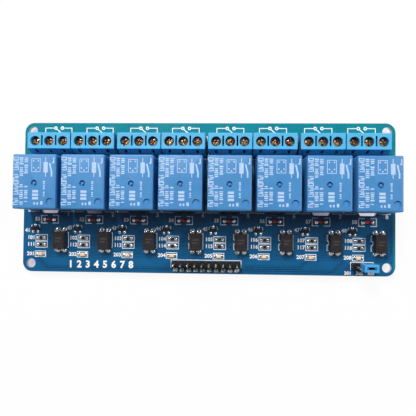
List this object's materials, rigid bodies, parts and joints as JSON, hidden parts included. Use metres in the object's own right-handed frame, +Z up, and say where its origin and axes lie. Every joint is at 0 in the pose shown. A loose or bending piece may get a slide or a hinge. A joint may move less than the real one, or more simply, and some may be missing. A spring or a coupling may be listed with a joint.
{
  "type": "relay module board",
  "caption": "Relay board: a row of sealed relays with screw terminals behind and driver parts, optocouplers and pin headers in front.",
  "frame": {"origin": "centre of the rectangle of mounting holes, on the circuit board's underside", "axes": "+X along the row of relays, to the right seen from the front edge; +Y towards the screw terminals; +Z up from the board to the relays"},
  "size_m": [0.138, 0.056, 0.0192],
  "materials": {
    "solder_mask": "blue solder mask over glass-fibre laminate, satin gloss",
    "relay_plastic": "moulded blue PBT, satin",
    "terminal_plastic": "moulded bright blue nylon, semi-gloss",
    "black_plastic": "black moulded epoxy and nylon, fine matt",
    "bobbin_plastic": "natural nylon",
    "jumper_plastic": "moulded blue plastic",
    "iron": "zinc-plated soft iron",
    "copper_wire": "enamelled copper wire",
    "contact_copper": "rolled copper alloy",
    "screw_brass": "yellow-plated screws with cross recess",
    "tinned_metal": "bright tin plating",
    "pin_gold": "thin gold plating",
    "diode_glass": "orange glass with tinned end caps",
    "resistor_ceramic": "black-coated alumina with tinned ends",
    "lamp_resin": "cream diffusing resin"
  },
  "bodies": {
    "board": {"circuit_board": "solder_mask", "relay_case_1": "relay_plastic", "relay_case_2": "relay_plastic", "relay_case_3": "relay_plastic", "relay_case_4": "relay_plastic", "relay_case_5": "relay_plastic", "relay_case_6": "relay_plastic", "relay_case_7": "relay_plastic", "relay_case_8": "relay_plastic", "relay_bases": "black_plastic", "relay_yokes": "iron", "relay_cores": "iron", "relay_bobbins": "bobbin_plastic", "relay_windings": "copper_wire", "relay_coil_pins": "tinned_metal", "relay_common_springs": "contact_copper", "relay_open_contacts": "contact_copper", "relay_closed_contacts": "contact_copper", "terminal_housing_1": "terminal_plastic", "terminal_housing_2": "terminal_plastic", "terminal_housing_3": "terminal_plastic", "terminal_housing_4": "terminal_plastic", "terminal_housing_5": "terminal_plastic", "terminal_housing_6": "terminal_plastic", "terminal_housing_7": "terminal_plastic", "terminal_housing_8": "terminal_plastic", "terminal_clamps": "tinned_metal", "terminal_leaves": "contact_copper", "terminal_screws": "screw_brass", "optocoupler_1": "black_plastic", "optocoupler_2": "black_plastic", "optocoupler_3": "black_plastic", "optocoupler_4": "black_plastic", "optocoupler_5": "black_plastic", "optocoupler_6": "black_plastic", "optocoupler_7": "black_plastic", "optocoupler_8": "black_plastic", "optocoupler_leads": "tinned_metal", "transistors": "black_plastic", "transistor_leads": "tinned_metal", "diodes": "diode_glass", "resistors": "resistor_ceramic", "status_lamps": "lamp_resin", "input_header": "black_plastic", "input_pins": "pin_gold", "power_header": "black_plastic", "power_pins": "pin_gold"},
    "armature_1": {"relay_armature_1": "iron"},
    "armature_2": {"relay_armature_2": "iron"},
    "armature_3": {"relay_armature_3": "iron"},
    "armature_4": {"relay_armature_4": "iron"},
    "armature_5": {"relay_armature_5": "iron"},
    "armature_6": {"relay_armature_6": "iron"},
    "armature_7": {"relay_armature_7": "iron"},
    "armature_8": {"relay_armature_8": "iron"},
    "jumper": {"jumper_cap": "jumper_plastic", "jumper_clip": "tinned_metal"}
  },
  "joints": [
    {"name": "relay_1_armature", "type": "hinge", "parent": "board", "child": "armature_1", "pos_m": [-0.05894, -0.00227, 0.01193], "axis": [-1, 0, 0], "range_deg": [0, 4], "stiffness_Nm_per_rad": 0.004, "springref_deg": -5.73},
    {"name": "relay_2_armature", "type": "hinge", "parent": "board", "child": "armature_2", "pos_m": [-0.0421, -0.00227, 0.01193], "axis": [-1, 0, 0], "range_deg": [0, 4], "stiffness_Nm_per_rad": 0.004, "springref_deg": -5.73},
    {"name": "relay_3_armature", "type": "hinge", "parent": "board", "child": "armature_3", "pos_m": [-0.02526, -0.00227, 0.01193], "axis": [-1, 0, 0], "range_deg": [0, 4], "stiffness_Nm_per_rad": 0.004, "springref_deg": -5.73},
    {"name": "relay_4_armature", "type": "hinge", "parent": "board", "child": "armature_4", "pos_m": [-0.00842, -0.00227, 0.01193], "axis": [-1, 0, 0], "range_deg": [0, 4], "stiffness_Nm_per_rad": 0.004, "springref_deg": -5.73},
    {"name": "relay_5_armature", "type": "hinge", "parent": "board", "child": "armature_5", "pos_m": [0.00842, -0.00227, 0.01193], "axis": [-1, 0, 0], "range_deg": [0, 4], "stiffness_Nm_per_rad": 0.004, "springref_deg": -5.73},
    {"name": "relay_6_armature", "type": "hinge", "parent": "board", "child": "armature_6", "pos_m": [0.02526, -0.00227, 0.01193], "axis": [-1, 0, 0], "range_deg": [0, 4], "stiffness_Nm_per_rad": 0.004, "springref_deg": -5.73},
    {"name": "relay_7_armature", "type": "hinge", "parent": "board", "child": "armature_7", "pos_m": [0.0421, -0.00227, 0.01193], "axis": [-1, 0, 0], "range_deg": [0, 4], "stiffness_Nm_per_rad": 0.004, "springref_deg": -5.73},
    {"name": "relay_8_armature", "type": "hinge", "parent": "board", "child": "armature_8", "pos_m": [0.05894, -0.00227, 0.01193], "axis": [-1, 0, 0], "range_deg": [0, 4], "stiffness_Nm_per_rad": 0.004, "springref_deg": -5.73},
    {"name": "jumper_pull", "type": "slide", "parent": "board", "child": "jumper", "axis": [0, 0, 1], "range_m": [0, 0.0065]}
  ]
}
